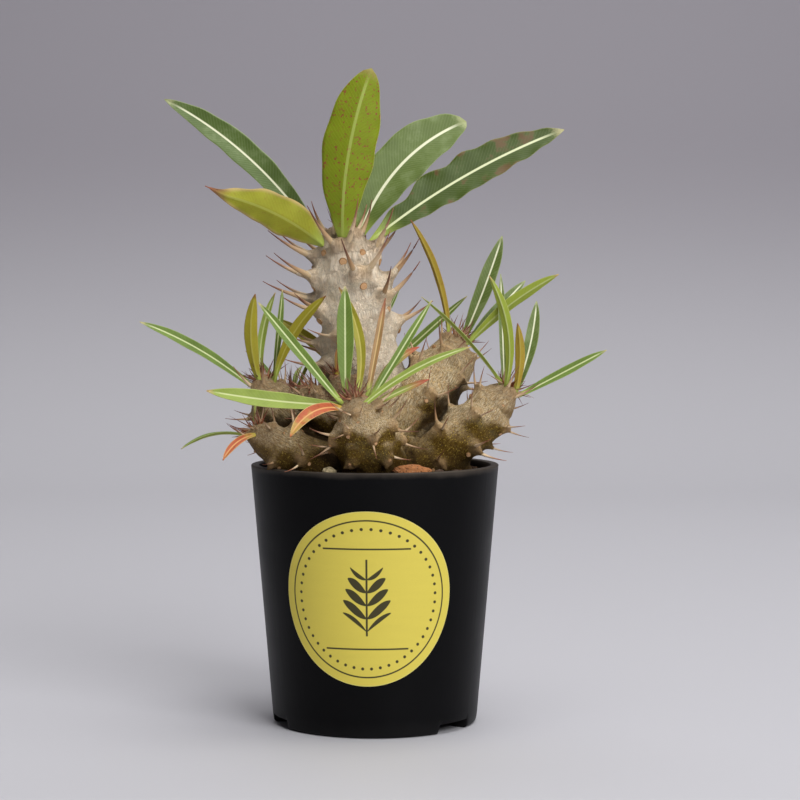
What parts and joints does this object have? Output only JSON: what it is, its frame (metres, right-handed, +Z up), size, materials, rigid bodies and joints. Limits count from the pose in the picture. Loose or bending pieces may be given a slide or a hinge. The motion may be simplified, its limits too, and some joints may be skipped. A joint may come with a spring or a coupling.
{
  "type": "potted Pachypodium cactipes",
  "caption": "Potted caudex succulent: an upright spiny trunk ringed by thick spiny side limbs, tufts of narrow leaves, broad leaves on top, in a tapered black pot.",
  "frame": {"origin": "middle of the pot's foot, on the surface it stands on", "axes": "+Z up along the pot's axis, -Y towards the label at the front, +X to the right"},
  "size_m": [0.1672, 0.1035, 0.2353],
  "materials": {
    "pot_plastic": "matte black moulded plastic",
    "label_paper": "printed paper sticker, slightly glossy",
    "soil": "dark crumbly potting soil",
    "bark": "dry tan bark with pale striations and soil stains",
    "green_leaf": "leathery green leaf with a pale midrib",
    "olive_leaf": "leathery yellow-green leaf",
    "rust_leaf": "fading orange-red leaf",
    "pale_stone": "rough pale stone",
    "beige_stone": "porous pumice-like stone",
    "terracotta": "crumbly fired clay",
    "dark_stone": "rough dark stone"
  },
  "bodies": {
    "root": {"pot": "pot_plastic", "label": "label_paper", "caudex": "bark", "soil": "soil", "stone_white": "pale_stone", "stone_beige": "beige_stone", "stone_clay": "terracotta", "stone_dark": "dark_stone", "stone_brown": "dark_stone", "stone_grey": "beige_stone", "leaf_top_1": "green_leaf", "leaf_top_2": "green_leaf", "leaf_top_3": "olive_leaf", "leaf_top_4": "green_leaf", "leaf_top_5": "green_leaf", "leaf_top_6": "green_leaf", "leaf_front_1": "green_leaf", "leaf_front_2": "green_leaf", "leaf_front_3": "green_leaf", "leaf_front_4": "rust_leaf", "leaf_front_5": "green_leaf", "leaf_front_6": "green_leaf", "leaf_front_7": "green_leaf", "leaf_front_8": "green_leaf", "leaf_front_9": "olive_leaf", "leaf_front_10": "rust_leaf", "leaf_left_1": "green_leaf", "leaf_left_2": "olive_leaf", "leaf_left_3": "green_leaf", "leaf_left_4": "green_leaf", "leaf_left_5": "olive_leaf", "leaf_low_left_1": "green_leaf", "leaf_low_left_2": "rust_leaf", "leaf_low_left_3": "green_leaf", "leaf_right_upper_1": "olive_leaf", "leaf_right_upper_2": "green_leaf", "leaf_right_upper_3": "green_leaf", "leaf_right_upper_4": "green_leaf", "leaf_right_lower_1": "green_leaf", "leaf_right_lower_2": "green_leaf", "leaf_right_lower_3": "green_leaf", "leaf_right_lower_4": "olive_leaf", "leaf_right_lower_5": "green_leaf", "leaf_right_lower_6": "green_leaf", "leaf_middle_1": "rust_leaf", "leaf_back_1": "olive_leaf", "leaf_back_2": "green_leaf", "leaf_back_3": "green_leaf", "leaf_back_4": "green_leaf", "leaf_back_5": "green_leaf", "leaf_back_left_1": "green_leaf", "leaf_back_left_2": "green_leaf", "leaf_back_left_3": "green_leaf"}
  },
  "joints": []
}
